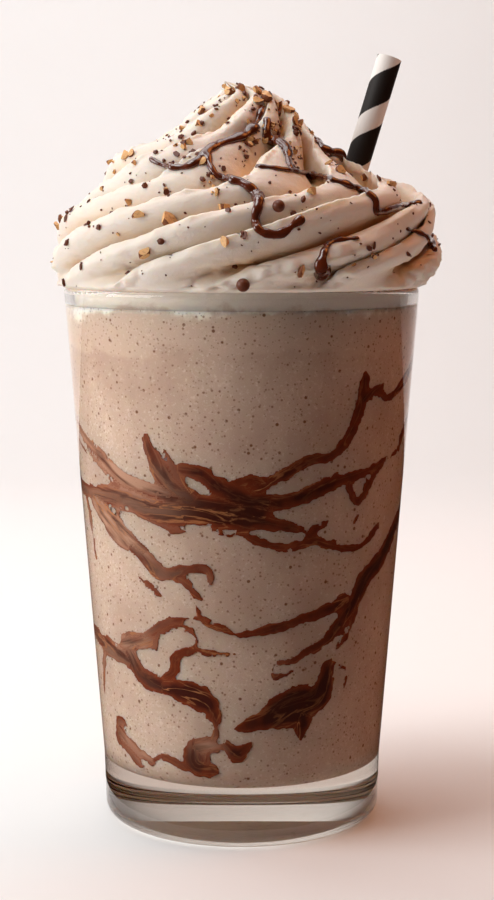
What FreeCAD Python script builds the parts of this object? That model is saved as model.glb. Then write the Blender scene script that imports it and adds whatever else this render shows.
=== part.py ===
"""Chocolate milkshake in a tapered clear tumbler, with piped cream on top and a paper straw.

The row frame stands the tumbler on its foot: origin at the middle of the foot, +Z up, +X to the side
that the straw leans to, -Y to the side that is looked at. Lengths are in millimetres.
"""
import FreeCAD, Part
import math
import os
import Sketcher

from FreeCAD import Placement, Rotation, Vector

# ----------------------------------------------------------------------------- driving dimensions

SIZES = {
    # tumbler
    "glass_height": 130.0,
    "rim_radius": 43.0,
    "heel_radius": 34.2,
    "heel_height": 15.0,
    "foot_radius": 33.8,
    "foot_round": 3.2,
    "foot_ring_width": 6.0,
    "punt_rise": 2.2,
    "floor_height": 14.0,
    "rim_wall": 2.3,
    "floor_wall": 3.1,
    "floor_round": 5.0,
    "lip_round": 1.1,
    # drink
    "drink_depth_below_rim": 4.0,
    "contents_gap": 0.05,
    # piped cream
    "cream_rise": 48.5,
    "cream_overhang": 4.0,
    "cream_belly": 2.2,
    "cream_lean": 1.3,
    "cream_tuck": 2.6,
    "cream_tuck_rise": 2.5,
    "peak_radius": 1.6,
    "ridge_count": 11,
    "ridge_depth": 4.6,
    "ridge_twist_per_mm": 3.9,
    "ridge_heading": 28.6,
    "settled_rise": 8.0,
    # straw
    "straw_radius": 3.0,
    "straw_wall": 0.5,
    "straw_above_rim": 55.0,
    "straw_tilt": 17.5,
    "straw_heading": 15.0,
    "straw_foot_x": -15.9,
    "straw_foot_y": -7.5,
    "straw_gap": 0.2,
}

# How the cream's surface is laid out: rings from rim to peak, and points along each ridge's plan.
CREAM_LEVELS = 24
RIDGE_STEPS = 8
# Share of the way to the next ridge over which a ridge's face falls to the groove.
RIDGE_FACE = 0.8
# How fast the face rounds over: under 1 keeps it full and then drops it steeply.
RIDGE_FULLNESS = 0.8
# Depth of the grooves where the cream sits on the rim, as a share of their depth higher up.
SETTLED_RIDGE = 0.4


def make_sheet(doc):
    """Writes every driving dimension to a spreadsheet cell with its name as alias."""
    sheet = doc.addObject("Spreadsheet::Sheet", "Sizes")
    for row, (alias, value) in enumerate(SIZES.items(), start=1):
        sheet.set(f"A{row}", alias)
        sheet.set(f"B{row}", str(value))
        sheet.setAlias(f"B{row}", alias)
    doc.recompute()
    return sheet


# ----------------------------------------------------------------------------- sketch helpers

ORIGIN_POINT = (-1, 1)
HORIZONTAL_AXIS = -1
VERTICAL_AXIS = -2


def origin_plane(body, role):
    """The origin plane of a body that has this role, such as XZ_Plane."""
    return next(f for f in body.Origin.OriginFeatures if f.Role == role)


def value_of(doc, expression):
    """The number that an expression on the spreadsheet gives."""
    probe = doc.addObject("App::FeaturePython", "Probe")
    probe.addProperty("App::PropertyFloat", "Value")
    probe.setExpression("Value", expression)
    doc.recompute()
    number = probe.Value
    doc.removeObject(probe.Name)
    return number


def profile_sketch(body, name, corners, domed_first=False):
    """A closed half-section on the XZ plane, with each corner's radius and height bound to the sheet.

    corners are (radius, height) pairs of expressions, in order round the section. With domed_first the first
    side is an arc centred on the axis instead of a straight line.
    """
    doc = body.Document
    sketch = body.newObject("Sketcher::SketchObject", name)
    sketch.AttachmentSupport = (origin_plane(body, "XZ_Plane"), [""])
    sketch.MapMode = "FlatFace"
    points = [Vector(value_of(doc, r), value_of(doc, z), 0) for r, z in corners]
    count = len(points)
    for i in range(count):
        here, there = points[i], points[(i + 1) % count]
        if domed_first and i == 0:
            drop = here.y - there.y
            radius = (there.x**2 + drop**2) / (2 * drop)
            circle = Part.Circle(Vector(0, here.y - radius, 0), Vector(0, 0, 1), radius)
            turn = math.atan2(there.y - circle.Center.y, there.x)
            sketch.addGeometry(Part.ArcOfCircle(circle, turn, math.pi / 2))
        else:
            sketch.addGeometry(Part.LineSegment(here, there))
    # An arc runs anticlockwise, so its start is the section's second corner.
    start_of = [2 if domed_first and i == 0 else 1 for i in range(count)]
    end_of = [1 if domed_first and i == 0 else 2 for i in range(count)]
    for i in range(count):
        after = (i + 1) % count
        sketch.addConstraint(Sketcher.Constraint("Coincident", i, end_of[i], after, start_of[after]))
    if domed_first:
        sketch.addConstraint(Sketcher.Constraint("PointOnObject", 0, 3, VERTICAL_AXIS))
    for i, (r, z) in enumerate(corners):
        for kind, expression, axis in (("DistanceX", r, VERTICAL_AXIS), ("DistanceY", z, HORIZONTAL_AXIS)):
            if expression == "0":
                sketch.addConstraint(Sketcher.Constraint("PointOnObject", i, start_of[i], axis))
                continue
            place = points[i].x if kind == "DistanceX" else points[i].y
            index = sketch.addConstraint(Sketcher.Constraint(kind, *ORIGIN_POINT, i, start_of[i], place))
            sketch.setExpression(f"Constraints[{index}]", expression)
    doc.recompute()
    return sketch


def revolve(body, sketch, name):
    """A full turn of a half-section about the Z axis."""
    turn = body.newObject("PartDesign::Revolution", name)
    turn.Profile = sketch
    turn.ReferenceAxis = (sketch, ["V_Axis"])
    turn.Angle = 360.0
    body.Document.recompute()
    return turn


# How near a circular edge must be to its stated radius and height.
EDGE_REACH = 0.01


def round_edges(body, base, name, radius_expression, places):
    """Fillets the circular edges that lie at the given (radius, height) places."""
    edges = []
    for number, edge in enumerate(base.Shape.Edges, start=1):
        if edge.Degenerated or not isinstance(edge.Curve, Part.Circle):
            continue
        circle = edge.Curve
        for radius, height in places:
            if abs(circle.Radius - radius) < EDGE_REACH and abs(circle.Center.z - height) < EDGE_REACH:
                edges.append(f"Edge{number}")
    if len(edges) != len(places):
        raise RuntimeError(f"{name}: found {len(edges)} edges for {len(places)} places")
    fillet = body.newObject("PartDesign::Fillet", name)
    fillet.Base = (base, edges)
    fillet.setExpression("Radius", radius_expression)
    body.Document.recompute()
    return fillet


# ----------------------------------------------------------------------------- tumbler

# Inside radius of the tumbler: it widens evenly from the floor to the rim.
CAVITY_FLOOR_RADIUS = "Sizes.heel_radius - Sizes.floor_wall"
CAVITY_RIM_RADIUS = "Sizes.rim_radius - Sizes.rim_wall"
# The lip is rounded from both sides, so its round stays under half of the wall.
LIP_ROUND = "min(Sizes.lip_round; Sizes.rim_wall * 0.48)"


def cavity_radius_at(height):
    """An expression for the inside radius at an expression's height."""
    share = f"(({height}) - Sizes.floor_height) / (Sizes.glass_height - Sizes.floor_height)"
    return f"{CAVITY_FLOOR_RADIUS} + (({CAVITY_RIM_RADIUS}) - ({CAVITY_FLOOR_RADIUS})) * {share}"


def make_glass(doc):
    """The tumbler: thick foot with a shallow punt, heel, tapered wall and a fire-rounded lip."""
    body = doc.addObject("PartDesign::Body", "glass")
    body.Label = "glass"
    section = profile_sketch(
        body,
        "GlassSection",
        [
            ("0", "Sizes.punt_rise"),
            ("Sizes.foot_radius - Sizes.foot_round - Sizes.foot_ring_width", "0"),
            ("Sizes.foot_radius", "0"),
            ("Sizes.heel_radius", "Sizes.heel_height"),
            ("Sizes.rim_radius", "Sizes.glass_height"),
            (CAVITY_RIM_RADIUS, "Sizes.glass_height"),
            (CAVITY_FLOOR_RADIUS, "Sizes.floor_height"),
            ("0", "Sizes.floor_height"),
        ],
        domed_first=True,
    )
    blank = revolve(body, section, "GlassBlank")
    sheet = doc.Sizes
    floor_corner = (sheet.heel_radius - sheet.floor_wall, sheet.floor_height)
    foot = round_edges(body, blank, "FootRound", "Sizes.foot_round", [(sheet.foot_radius, 0.0)])
    floor = round_edges(body, foot, "FloorRound", "Sizes.floor_round", [floor_corner])
    round_edges(
        body,
        floor,
        "LipRound",
        LIP_ROUND,
        [(sheet.rim_radius, sheet.glass_height), (sheet.rim_radius - sheet.rim_wall, sheet.glass_height)],
    )
    return body


# ----------------------------------------------------------------------------- straw

# The straw stands on the low side of its foot, so its centre line starts a little above the floor.
STRAW_FOOT_HEIGHT = "Sizes.floor_height + Sizes.straw_gap + Sizes.straw_radius * sin(Sizes.straw_tilt * 1deg)"
STRAW_RISE = f"Sizes.glass_height + Sizes.straw_above_rim - ({STRAW_FOOT_HEIGHT})"
STRAW_LENGTH = f"({STRAW_RISE}) / cos(Sizes.straw_tilt * 1deg)"


def lean_straw(doc, thing):
    """Places a piece built along +Z on the straw's own line, with its foot just off the tumbler's floor."""
    sheet = doc.Sizes
    heading = math.radians(sheet.straw_heading)
    across = Vector(-math.sin(heading), math.cos(heading), 0)
    thing.Placement = Placement(Vector(), Rotation(across, sheet.straw_tilt))
    thing.setExpression("Placement.Base.x", "Sizes.straw_foot_x")
    thing.setExpression("Placement.Base.y", "Sizes.straw_foot_y")
    thing.setExpression("Placement.Base.z", STRAW_FOOT_HEIGHT)
    doc.recompute()


def make_straw(doc):
    """The paper straw: a thin tube cut square at both ends."""
    body = doc.addObject("PartDesign::Body", "straw")
    body.Label = "straw"
    section = profile_sketch(
        body,
        "StrawSection",
        [
            ("Sizes.straw_radius - Sizes.straw_wall", "0"),
            ("Sizes.straw_radius", "0"),
            ("Sizes.straw_radius", STRAW_LENGTH),
            ("Sizes.straw_radius - Sizes.straw_wall", STRAW_LENGTH),
        ],
    )
    revolve(body, section, "StrawTube")
    lean_straw(doc, body)
    return body


def make_straw_room(doc):
    """The room that the straw takes in what it stands in: a closed cylinder a hair wider than the straw."""
    room = doc.addObject("Part::Cylinder", "StrawRoom")
    room.setExpression("Radius", "Sizes.straw_radius + Sizes.contents_gap")
    room.setExpression("Height", STRAW_LENGTH)
    lean_straw(doc, room)
    return room


def cut_away(doc, base, tool, name):
    """base without tool, as a document object."""
    cut = doc.addObject("Part::Cut", name)
    cut.Base = base
    cut.Tool = tool
    cut.Label = name
    doc.recompute()
    return cut


# ----------------------------------------------------------------------------- drink

DRINK_TOP = "Sizes.glass_height - Sizes.drink_depth_below_rim"


def make_milkshake(doc, straw_room):
    """The drink: fills the tumbler from its floor to a little below the rim, round the straw."""
    body = doc.addObject("PartDesign::Body", "DrinkBody")
    low = "Sizes.floor_height + Sizes.contents_gap"
    section = profile_sketch(
        body,
        "DrinkSection",
        [
            ("0", low),
            (f"{CAVITY_FLOOR_RADIUS} - Sizes.contents_gap", low),
            (f"{cavity_radius_at(DRINK_TOP)} - Sizes.contents_gap", DRINK_TOP),
            ("0", DRINK_TOP),
        ],
    )
    fill = revolve(body, section, "DrinkFill")
    sheet = doc.Sizes
    gap = sheet.contents_gap
    corner = (sheet.heel_radius - sheet.floor_wall - gap, sheet.floor_height + gap)
    round_edges(body, fill, "DrinkFloorRound", "Sizes.floor_round", [corner])
    return cut_away(doc, body, straw_room, "milkshake")


# ----------------------------------------------------------------------------- piped cream


def cream_radius(sheet):
    """Widest radius of the cream, which stands out past the rim."""
    return sheet.rim_radius + sheet.cream_overhang


def cream_outline(sheet, share):
    """Radius of the cream over its ridges at a share of its rise: a belly that narrows to the peak."""
    tuck = sheet.cream_tuck * math.exp(-share * sheet.cream_rise / sheet.cream_tuck_rise)
    return max(sheet.peak_radius, cream_radius(sheet) * (1 - share**sheet.cream_belly) - tuck)


def cream_ridge_depth(sheet, share):
    """How deep the grooves are there: shallow where the cream sits on the rim, and again at the peak."""
    settled = SETTLED_RIDGE + (1 - SETTLED_RIDGE) * min(1.0, share * sheet.cream_rise / sheet.settled_rise)
    return sheet.ridge_depth * settled * math.sqrt(cream_outline(sheet, share) / cream_radius(sheet))


def ridge_height(along):
    """Height of one ridge's plan at a share of the way to the next ridge, from 0 in the groove to 1.

    The ridge is sharp on the side that the swirl climbs from, and falls away slowly on the other side.
    """
    if along < RIDGE_FACE:
        return math.cos(math.pi / 2 * along / RIDGE_FACE) ** RIDGE_FULLNESS
    return (along - RIDGE_FACE) / (1 - RIDGE_FACE)


def cream_ring(sheet, share, base_height):
    """Points of the cream's plan outline at a share of its rise, turned by the swirl."""
    rise = share * sheet.cream_rise
    turn = sheet.ridge_heading + sheet.ridge_twist_per_mm * rise
    outline, depth = cream_outline(sheet, share), cream_ridge_depth(sheet, share)
    steps = int(sheet.ridge_count) * RIDGE_STEPS
    points = []
    for step in range(steps):
        angle = math.radians(turn + 360.0 * step / steps)
        radius = outline - depth * (1 - ridge_height(step % RIDGE_STEPS / RIDGE_STEPS))
        points.append(
            Vector(sheet.cream_lean + radius * math.cos(angle), radius * math.sin(angle), base_height + rise)
        )
    return points


def even_curve(points, closed):
    """A cubic curve through the points, with its knots at even steps."""
    curve = Part.BSplineCurve()
    steps = len(points) if closed else len(points) - 1
    curve.interpolate(Points=points, PeriodicFlag=closed, Parameters=[float(i) for i in range(steps + 1)])
    return curve


def skin_surface(rings):
    """The smooth closed-round surface that passes through every ring of points."""
    round_curves = [even_curve(ring, True) for ring in rings]
    columns = [even_curve(list(column), False) for column in zip(*(c.getPoles() for c in round_curves))]
    across, up = round_curves[0], columns[0]
    surface = Part.BSplineSurface()
    surface.buildFromPolesMultsKnots(
        [list(row) for row in zip(*(c.getPoles() for c in columns))],
        up.getMultiplicities(),
        across.getMultiplicities(),
        up.getKnots(),
        across.getKnots(),
        False,
        True,
        up.Degree,
        across.Degree,
    )
    return surface


def make_swirl(sheet, base_height):
    """The ridged swirl as one closed solid: a smooth surface through its rings, with flat ends."""
    rings = [cream_ring(sheet, level / CREAM_LEVELS, base_height) for level in range(CREAM_LEVELS + 1)]
    side = skin_surface(rings).toShape()
    ends = [Part.Face(Part.Wire([edge])) for edge in side.Edges if edge.isClosed()]
    shell = Part.makeShell([side] + ends)
    shell.sewShape()
    return Part.makeSolid(shell)


def make_cream(doc, straw_room):
    """The piped cream: a twisted, ridged swirl on the rim, with a plug down to the drink."""
    sheet = doc.Sizes
    swirl = doc.addObject("Part::Feature", "CreamSwirl")
    swirl.Shape = make_swirl(sheet, sheet.glass_height + sheet.contents_gap)

    body = doc.addObject("PartDesign::Body", "PlugBody")
    low = f"{DRINK_TOP} + Sizes.contents_gap"
    high = "Sizes.glass_height + 2 * Sizes.contents_gap"
    section = profile_sketch(
        body,
        "PlugSection",
        [
            ("0", low),
            (f"{cavity_radius_at(low)} - Sizes.contents_gap", low),
            (f"{CAVITY_RIM_RADIUS} - Sizes.contents_gap", high),
            ("0", high),
        ],
    )
    revolve(body, section, "CreamPlug")
    whole = doc.addObject("Part::Fuse", "CreamWhole")
    whole.Base = swirl
    whole.Tool = body
    doc.recompute()
    return cut_away(doc, whole, straw_room, "whipped_cream")


# ----------------------------------------------------------------------------- build and export


def check_document(doc, nodes):
    """Stops if any object failed to compute, or a sub-part isn't one valid solid."""
    for item in doc.Objects:
        if {"Invalid", "Error"} & set(item.State):
            raise RuntimeError(f"{item.Name} failed: {item.State}")
    for node in nodes:
        shape = node.Shape
        if shape.isNull() or not shape.isValid() or len(shape.Solids) != 1:
            raise RuntimeError(f"{node.Label} isn't one valid solid: {len(shape.Solids)} solids")


def main():
    doc = FreeCAD.newDocument("Milkshake")
    make_sheet(doc)
    glass = make_glass(doc)
    straw = make_straw(doc)
    straw_room = make_straw_room(doc)
    milkshake = make_milkshake(doc, straw_room)
    cream = make_cream(doc, straw_room)
    nodes = [glass, milkshake, cream, straw]
    check_document(doc, nodes)
    os.makedirs("parts", exist_ok=True)
    for node in nodes:
        solid = node.Shape.Solids[0]
        solid.exportStep(f"parts/{node.Label}.step")
        print(f"{node.Label}: {solid.Volume / 1000:.1f} cm3, top at {solid.BoundBox.ZMax:.1f} mm")


main()
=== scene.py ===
"""A chocolate milkshake in its tumbler, under piped whipped cream with sauce, nuts and a paper straw.

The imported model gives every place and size. Shapes are drawn in millimetres and headings in degrees:
heading 0 faces the viewer (-Y), and headings grow to the viewer's right.
"""
import math
import random

import bmesh
import bpy
import numpy as np
from mathutils import Matrix, Vector, noise
from mathutils.bvhtree import BVHTree


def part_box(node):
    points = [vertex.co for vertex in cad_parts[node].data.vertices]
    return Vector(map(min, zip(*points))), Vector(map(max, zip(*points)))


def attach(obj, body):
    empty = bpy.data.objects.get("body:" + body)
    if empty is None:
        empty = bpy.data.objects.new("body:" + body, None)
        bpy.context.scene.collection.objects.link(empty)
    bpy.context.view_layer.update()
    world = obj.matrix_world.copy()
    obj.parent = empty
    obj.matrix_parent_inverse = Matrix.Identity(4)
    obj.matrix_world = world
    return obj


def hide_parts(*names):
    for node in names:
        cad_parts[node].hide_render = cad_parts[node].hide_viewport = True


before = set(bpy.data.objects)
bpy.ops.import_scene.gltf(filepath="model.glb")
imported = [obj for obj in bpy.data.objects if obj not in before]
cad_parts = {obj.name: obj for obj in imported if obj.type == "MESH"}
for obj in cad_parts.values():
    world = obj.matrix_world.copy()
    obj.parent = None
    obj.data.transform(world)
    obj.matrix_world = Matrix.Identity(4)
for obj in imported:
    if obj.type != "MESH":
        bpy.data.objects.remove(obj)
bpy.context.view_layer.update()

bl_info = {
    "name": "Chocolate milkshake",
    "version": (1, 0, 0),
    "blender": (4, 5, 0),
    "location": "3D View > Sidebar > Milkshake",
    "description": "Builds a chocolate milkshake with whipped cream, sauce, nuts and a straw in its tumbler",
    "category": "Add Mesh",
}

MM = 0.001


def box_mm(node):
    """A CAD node's lowest and highest corner in millimetres."""
    low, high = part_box(node)
    return Vector(low) / MM, Vector(high) / MM


# The heights of the tumbler's rim and of the drink's surface.
RIM = box_mm("glass")[1].z
DRINK_LOW, DRINK_HIGH = box_mm("milkshake")
SURFACE = DRINK_HIGH.z


def linear(code):
    """An sRGB hex colour as linear red, green and blue."""
    parts = [int(code[i:i + 2], 16) / 255 for i in (1, 3, 5)]
    return [c / 12.92 if c <= 0.04045 else ((c + 0.055) / 1.055) ** 2.4 for c in parts]


def rgba(colour):
    """A colour property as a node socket takes it."""
    return (*colour, 1.0)


# ---------------------------------------------------------------- settings

class TumblerSettings(bpy.types.PropertyGroup):
    """The clear glass, and its inside, which the drink fills."""
    floor_radius: bpy.props.FloatProperty(
        name="Floor radius", description="Radius of the inside at the floor, before its rounding",
        default=0.0311, unit="LENGTH")
    floor_round: bpy.props.FloatProperty(
        name="Floor rounding", description="Radius between the inside's floor and its wall",
        default=0.005, unit="LENGTH")
    tint: bpy.props.FloatVectorProperty(
        name="Glass tint", description="Colour of light that has passed through the glass",
        subtype="COLOR", default=linear("#FCFCFB"))
    # Partly painted: thick glass takes on a little colour, but this grey-brown is made strong enough to paint
    # in the dark surroundings seen through the base.
    base_tint_and_dark_refraction: bpy.props.FloatVectorProperty(
        name="Base tint", description="Colour that thick glass takes on, looked through sideways",
        subtype="COLOR", default=linear("#C9BDAE"))


class MilkshakeSettings(bpy.types.PropertyGroup):
    """The drink and its foam."""
    wall_reach: bpy.props.FloatProperty(
        name="Reach into the wall", description="How far the drink goes into the glass, so that no air shows",
        default=0.00012, unit="LENGTH")
    body: bpy.props.FloatVectorProperty(
        name="Milkshake", description="Colour of the blended milk and cocoa",
        subtype="COLOR", default=linear("#BAA191"))
    pale: bpy.props.FloatVectorProperty(
        name="Foam", description="Colour of the paler foam at the top and in clouds below",
        subtype="COLOR", default=linear("#CDB7A6"))
    cream: bpy.props.FloatVectorProperty(
        name="Sunken cream", description="Colour of the cream that has run down inside the rim",
        subtype="COLOR", default=linear("#F0E6D8"))
    bubble: bpy.props.FloatVectorProperty(
        name="Bubble", description="Colour inside the small bubbles against the glass",
        subtype="COLOR", default=linear("#7B5540"))


class SauceSettings(bpy.types.PropertyGroup):
    """The chocolate sauce that runs down inside the glass and over the cream."""
    cell: bpy.props.FloatProperty(
        name="Film cell", description="Size of the film's mesh cells", default=0.00042, unit="LENGTH")
    film_reach: bpy.props.FloatProperty(
        name="Film reach", description="How far the film goes into the glass", default=0.0003, unit="LENGTH")
    film_depth: bpy.props.FloatProperty(
        name="Film thickness", description="Thickness of the sauce on the wall", default=0.0007,
        unit="LENGTH")
    ragged: bpy.props.FloatProperty(
        name="Raggedness", description="How far the film's edge wanders", default=0.0008, unit="LENGTH")
    body: bpy.props.FloatVectorProperty(
        name="Thick sauce", description="Colour of the sauce where it lies thick against the glass",
        subtype="COLOR", default=linear("#3A0F04"))
    edge: bpy.props.FloatVectorProperty(
        name="Thin sauce", description="Colour of the sauce towards its edges",
        subtype="COLOR", default=linear("#702C11"))
    thread: bpy.props.FloatVectorProperty(
        name="Thread", description="Colour of the thin milky threads in the sauce",
        subtype="COLOR", default=linear("#B27549"))
    veil: bpy.props.FloatVectorProperty(
        name="Veil", description="Colour where the sauce is thin and milk shows through",
        subtype="COLOR", default=linear("#B58C75"))
    gloss: bpy.props.FloatVectorProperty(
        name="Drizzle", description="Colour of the thick sauce on the cream",
        subtype="COLOR", default=linear("#241008"))


class CreamSettings(bpy.types.PropertyGroup):
    """The piped cream, whose ridges climb round it to the right."""
    ridges: bpy.props.IntProperty(
        name="Ridges", description="Number of ridges that the piping nozzle leaves", default=11)
    ridge_depth: bpy.props.FloatProperty(
        name="Ridge depth", description="Depth of the grooves on the side", default=0.0058, unit="LENGTH")
    twist: bpy.props.FloatProperty(
        name="Twist", description="Degrees that a ridge turns in each millimetre it climbs", default=3.9)
    rows: bpy.props.IntProperty(
        name="Rows", description="Rings of vertices from the foot of the cream to its peak", default=300)
    white: bpy.props.FloatVectorProperty(
        name="Cream", description="Colour of the whipped cream", subtype="COLOR", default=linear("#E4DBCF"))
    # Painted shade: a warm tan laid deep between the ridges, where shade falls.
    groove: bpy.props.FloatVectorProperty(
        name="Groove", description="Warmer colour deep between the ridges",
        subtype="COLOR", default=linear("#DDAB66"))


class ToppingSettings(bpy.types.PropertyGroup):
    """Chopped nuts and chocolate crumbs on the cream."""
    seed: bpy.props.IntProperty(name="Seed", description="Changes where the small pieces fall", default=7)
    nuts: bpy.props.IntProperty(name="Nuts", description="Number of small nut pieces all round", default=150)
    crumbs: bpy.props.IntProperty(
        name="Crumbs", description="Number of chocolate crumbs all round", default=760)
    nut_flesh: bpy.props.FloatVectorProperty(
        name="Nut", description="Colour of a roasted nut where it is cut",
        subtype="COLOR", default=linear("#DDAE74"))
    nut_skin: bpy.props.FloatVectorProperty(
        name="Nut skin", description="Colour of a nut's thin skin", subtype="COLOR",
        default=linear("#7B4421"))
    chocolate: bpy.props.FloatVectorProperty(
        name="Chocolate", description="Colour of the grated chocolate",
        subtype="COLOR", default=linear("#5F2B13"))


class StrawSettings(bpy.types.PropertyGroup):
    """The paper straw and its winding stripe."""
    lead: bpy.props.FloatProperty(
        name="Stripe lead", description="How far the stripe climbs in one turn", default=0.0155,
        unit="LENGTH")
    start: bpy.props.FloatProperty(
        name="Stripe start", description="Share of a turn by which the stripe is set round", default=-0.17)
    paper: bpy.props.FloatVectorProperty(
        name="Paper", description="Colour of the plain paper", subtype="COLOR", default=linear("#EFEAE4"))
    ink: bpy.props.FloatVectorProperty(
        name="Stripe", description="Colour of the printed stripe", subtype="COLOR", default=linear("#1C1512"))


class StageSettings(bpy.types.PropertyGroup):
    """The floor, the lamps and the camera."""
    floor: bpy.props.FloatVectorProperty(
        name="Floor", description="Colour of the floor and backdrop", subtype="COLOR",
        default=linear("#EEEFEF"))
    felt: bpy.props.FloatVectorProperty(
        name="Flag", description="Colour of the felt flag round the tumbler", subtype="COLOR",
        default=linear("#2A1A10"))
    flag_radius: bpy.props.FloatProperty(
        name="Flag radius", description="Radius of the flag", default=1.5, unit="LENGTH")
    key: bpy.props.FloatProperty(
        name="Key lamp", description="Strength of the large soft lamp at the left", default=3.1, unit="POWER")
    top: bpy.props.FloatProperty(
        name="Top lamp", description="Strength of the lamp above, which lights the ridges", default=1.9,
        unit="POWER")
    warm: bpy.props.FloatProperty(
        name="Warm lamp", description="Strength of the weak warm lamp at the right", default=1.6,
        unit="POWER")
    warm_colour: bpy.props.FloatVectorProperty(
        name="Warm light", description="Colour of the lamp at the right and of the room",
        subtype="COLOR", default=linear("#FF9650"))
    backdrop: bpy.props.FloatProperty(
        name="Backdrop lamp", description="Strength of the lamp on the backdrop", default=5.0, unit="POWER")
    lens: bpy.props.FloatProperty(
        name="Lens", description="Focal length in millimetres", default=74.84)
    eye: bpy.props.FloatVectorProperty(
        name="Camera place", description="Where the camera stands", subtype="TRANSLATION",
        default=(0.0013, -0.4555, 0.1461))
    dip: bpy.props.FloatProperty(
        name="Camera dip", description="How far the camera looks down", subtype="ANGLE",
        default=math.radians(7.02))


# ------------------------------------------------------ small shared tools

def through(points, per_span):
    """A smooth curve through the points, with that many samples to each span."""
    given = np.array(points, float)
    ends = np.vstack([2 * given[0] - given[1], given, 2 * given[-1] - given[-2]])
    t = (np.arange(per_span) / per_span)[:, None]
    spans = []
    for a, b, c, d in zip(ends, ends[1:], ends[2:], ends[3:]):
        spans.append(b + t * (c - a) / 2 + t ** 2 * (a - 2.5 * b + 2 * c - d / 2)
                     + t ** 3 * (1.5 * (b - c) + (d - a) / 2))
    return np.vstack(spans + [given[-1:]])


def ease(low, high, value):
    """0 below low, 1 above high, and smooth between them."""
    t = np.clip((value - low) / (high - low), 0, 1)
    return t * t * (3 - 2 * t)


def wander(x, y, z, size):
    """Smooth noise with that grain size in millimetres, about -1 to 1, at each place."""
    places = np.stack(np.broadcast_arrays(x, y, z), -1) / size
    values = [noise.noise(p) for p in places.reshape(-1, 3).tolist()]
    return np.array(values).reshape(places.shape[:-1])


def wall_radius(height):
    """The tumbler's inside radius at that height, in millimetres."""
    tumbler = bpy.context.scene.tumbler
    low = tumbler.floor_radius / MM
    slope = (DRINK_HIGH.x - low) / (SURFACE - DRINK_LOW.z)
    return low + slope * (height - DRINK_LOW.z)


def new_object(bm, name, materials, smooth=True):
    """Makes an object of a bmesh that is drawn in millimetres."""
    bmesh.ops.scale(bm, vec=(MM, MM, MM), verts=bm.verts)
    mesh = bpy.data.meshes.new(name)
    bm.to_mesh(mesh)
    bm.free()
    for material in materials:
        mesh.materials.append(material)
    mesh.polygons.foreach_set("use_smooth", [smooth] * len(mesh.polygons))
    thing = bpy.data.objects.new(name, mesh)
    bpy.context.scene.collection.objects.link(thing)
    return thing


def finish_piece(bm, name, materials, smooth=True):
    """Makes a bmesh that is drawn in millimetres a piece that moves with the drink."""
    piece = new_object(bm, name, materials, smooth)
    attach(piece, "root")
    return piece


def add_node(tree, kind, inputs=None, **settings):
    """One shader node. inputs gives a socket, by name or number, a value or another node's output."""
    made = tree.nodes.new("ShaderNode" + kind)
    for name, value in settings.items():
        setattr(made, name, value)
    for socket, value in (inputs or {}).items():
        if isinstance(value, bpy.types.NodeSocket):
            tree.links.new(value, made.inputs[socket])
        else:
            made.inputs[socket].default_value = value
    return made


def new_material(name):
    """An empty node material: the material, its node tree and its output node."""
    material = bpy.data.materials.new(name)
    material.use_nodes = True
    material.node_tree.nodes.clear()
    return material, material.node_tree, add_node(material.node_tree, "OutputMaterial")


def cover(node, material):
    """Gives every material slot of a CAD node the same material."""
    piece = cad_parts[node]
    for place in piece.material_slots:
        place.material = material


# ----------------------------------------------------------------- tumbler

def clear_glass(tumbler):
    """Pressed soda-lime glass: clear and mirror-smooth, so it shows only highlights and what it bends."""
    material, tree, output = new_material("soda_lime_glass")
    glass = add_node(tree, "BsdfPrincipled", {
        "Base Color": rgba(tumbler.tint), "Roughness": 0.0, "IOR": 1.5, "Transmission Weight": 1.0})
    clear = add_node(tree, "BsdfTransparent", {"Color": rgba(tumbler.tint)})
    # Lamps reach the drink straight through the wall, without grainy caustics.
    path = add_node(tree, "LightPath")
    mix = add_node(tree, "MixShader", {
        0: path.outputs["Is Shadow Ray"], 1: glass.outputs[0], 2: clear.outputs[0]})
    # Such glass takes up some light, which shows only in the thick base, looked through sideways. The
    # grey-brown and its density are made strong enough to paint in dark surroundings seen through the base.
    base_darkening = add_node(tree, "VolumeAbsorption", {"Color": rgba(tumbler.base_tint_and_dark_refraction), "Density": 16.0})
    tree.links.new(mix.outputs[0], output.inputs["Surface"])
    tree.links.new(base_darkening.outputs[0], output.inputs["Volume"])
    return material


class MILKSHAKE_OT_polish_tumbler(bpy.types.Operator):
    """Gives the tumbler its clear glass"""
    bl_idname = "milkshake.polish_tumbler"
    bl_label = "Polish tumbler"

    def execute(self, context):
        cover("glass", clear_glass(context.scene.tumbler))
        return {"FINISHED"}


# --------------------------------------------------------------- milkshake

def cream_line(tree, place, height):
    """Share of cream at each height: it has sunk inside the rim, down to an uneven line."""
    # Waves 10 mm long and small drips.
    waves = add_node(tree, "TexNoise", {"Vector": place, "Scale": 1000 / 10, "Detail": 5, "Roughness": 0.6})
    dip = add_node(tree, "MapRange", {
        "Value": waves.outputs[0], "From Min": 0.3, "From Max": 0.7, "To Min": -0.003, "To Max": 0.003})
    level = add_node(tree, "Math", {0: height, 1: dip.outputs[0]}, operation="ADD")
    return add_node(tree, "MapRange", {
        "Value": level.outputs[0], "From Min": (RIM - 5.6) * MM, "From Max": (RIM - 3.4) * MM},
        interpolation_type="SMOOTHSTEP").outputs[0]


# Layers of bubbles, about 0.4 to 0.8 mm across, from many faint ones to few dark ones: their spacing in mm,
# their radius as a share of it, their darkness, and the share of places that stays empty.
BUBBLES = ((0.9, 0.27, 0.5, 0.3), (1.5, 0.24, 0.7, 0.5), (2.9, 0.17, 0.95, 0.4))


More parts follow.
